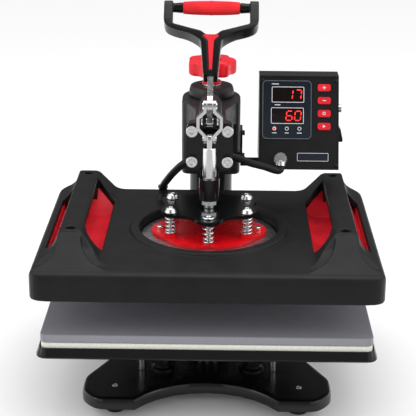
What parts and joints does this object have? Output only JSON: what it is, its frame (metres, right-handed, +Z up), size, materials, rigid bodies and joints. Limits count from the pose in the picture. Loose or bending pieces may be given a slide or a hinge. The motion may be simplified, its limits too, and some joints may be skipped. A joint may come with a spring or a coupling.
{
  "type": "heat press",
  "caption": "Swing-away flat heat press: lobed base, column and arm, toggle lever with fork handle, sprung heated platen over a silicone pad, tilted control box.",
  "frame": {"origin": "on the floor, under the middle of the outline", "axes": "+Z up, -Y the side the operator stands at, +X to the operator's right, where the control box is"},
  "size_m": [0.4026, 0.394, 0.4588],
  "materials": {
    "gloss_black": "gloss powder coat",
    "cast_grey": "satin paint on a casting",
    "black_plastic": "fine matte texture",
    "red_plastic": "satin",
    "red_paint": "gloss",
    "chrome": "polished",
    "steel": "turned",
    "aluminium": "machined",
    "rubber": "matte",
    "silicone": "fine weave",
    "felt": "felted",
    "overlay": "printed film"
  },
  "bodies": {
    "base": {"base_casting": "gloss_black", "foot_1": "rubber", "foot_2": "rubber", "foot_3": "rubber", "foot_4": "rubber", "rear_column": "gloss_black", "levelling_stud_1": "chrome", "levelling_stud_2": "chrome", "lower_tray": "gloss_black", "felt_layer": "felt", "silicone_pad": "silicone"},
    "lift_collar": {"thrust_washer": "chrome"},
    "arm": {"arm_casting": "cast_grey", "column_cap": "cast_grey", "front_plate": "gloss_black", "plate_bolt_1": "chrome", "plate_bolt_2": "chrome", "plate_bolt_3": "chrome", "plate_bolt_4": "chrome", "guide_bush": "gloss_black", "pivot_pin": "chrome", "box_shell": "gloss_black", "front_panel": "gloss_black", "display_overlay": "overlay", "cable_plug": "chrome", "fuse_cap": "chrome", "box_bracket": "gloss_black", "heater_cable": "rubber"},
    "knob": {"pressure_knob": "red_plastic", "pressure_screw": "steel"},
    "handle": {"lever_bar": "chrome", "handle_fork": "black_plastic", "handle_inlay": "red_plastic", "grip": "red_plastic"},
    "links": {"link_right": "chrome", "link_left": "chrome"},
    "ram": {"ram_shaft": "chrome", "ram_nut": "chrome", "pressure_plate": "gloss_black", "spring_1": "chrome", "spring_2": "chrome", "spring_3": "chrome", "spring_4": "chrome", "spring_5": "chrome"},
    "platen": {"platen_cover": "black_plastic", "trough_right": "red_plastic", "trough_left": "red_plastic", "heating_plate": "aluminium", "recess_plate": "steel", "spring_plate": "red_paint", "spring_bolt_1": "chrome", "spring_bolt_2": "chrome", "spring_bolt_3": "chrome", "spring_bolt_4": "chrome", "spring_bolt_5": "chrome"},
    "plus_button": {"button_1": "red_plastic"},
    "minus_button": {"button_2": "red_plastic"},
    "mode_button": {"button_3": "red_plastic"},
    "start_button": {"button_4": "red_plastic"},
    "switch_rocker": {"power_switch": "black_plastic"}
  },
  "joints": [
    {"name": "arm_height", "type": "slide", "parent": "base", "child": "lift_collar", "axis": [0, 0, 1], "range_m": [0, 0.006]},
    {"name": "arm_swing", "type": "hinge", "parent": "lift_collar", "child": "arm", "pos_m": [0, 0.15, 0.3], "axis": [0, 0, 1], "range_deg": [-180, 180]},
    {"name": "knob_turn", "type": "hinge", "parent": "arm", "child": "knob", "pos_m": [0, 0.15, 0.35], "axis": [0, 0, 1], "range_deg": [0, 720]},
    {"name": "handle_pull", "type": "hinge", "parent": "arm", "child": "handle", "pos_m": [0, -0.033, 0.332], "axis": [1, 0, 0], "range_deg": [0, 155]},
    {"name": "link_swing", "type": "hinge", "parent": "handle", "child": "links", "pos_m": [0, -0.03929, 0.35256], "axis": [1, 0, 0], "range_deg": [-160, 0]},
    {"name": "ram_press", "type": "slide", "parent": "arm", "child": "ram", "axis": [0, 0, -1], "range_m": [0, 0.0416]},
    {"name": "platen_float", "type": "slide", "parent": "ram", "child": "platen", "axis": [0, 0, 1], "range_m": [0, 0.003], "stiffness_N_per_m": 20000, "springref_m": -0.003, "deforming": ["spring_1", "spring_2", "spring_3", "spring_4", "spring_5"]},
    {"name": "switch_rock", "type": "hinge", "parent": "arm", "child": "switch_rocker", "pos_m": [0.1615, 0.064, 0.292], "axis": [0, 1, 0], "range_deg": [0, 16]},
    {"name": "plus_button_press", "type": "slide", "parent": "arm", "child": "plus_button", "axis": [0, 0.9079, -0.4192], "range_m": [0, 0.001], "stiffness_N_per_m": 600},
    {"name": "minus_button_press", "type": "slide", "parent": "arm", "child": "minus_button", "axis": [0, 0.9079, -0.4192], "range_m": [0, 0.001], "stiffness_N_per_m": 600},
    {"name": "mode_button_press", "type": "slide", "parent": "arm", "child": "mode_button", "axis": [0, 0.9079, -0.4192], "range_m": [0, 0.001], "stiffness_N_per_m": 600},
    {"name": "start_button_press", "type": "slide", "parent": "arm", "child": "start_button", "axis": [0, 0.9079, -0.4192], "range_m": [0, 0.001], "stiffness_N_per_m": 600}
  ],
  "couplings": [
    {"joint": "knob_turn", "follows": "arm_height", "rad_per_m": 2094},
    {"joint": "handle_pull", "follows": "ram_press", "rad_per_m": 65.03},
    {"joint": "link_swing", "follows": "ram_press", "rad_per_m": -67}
  ]
}
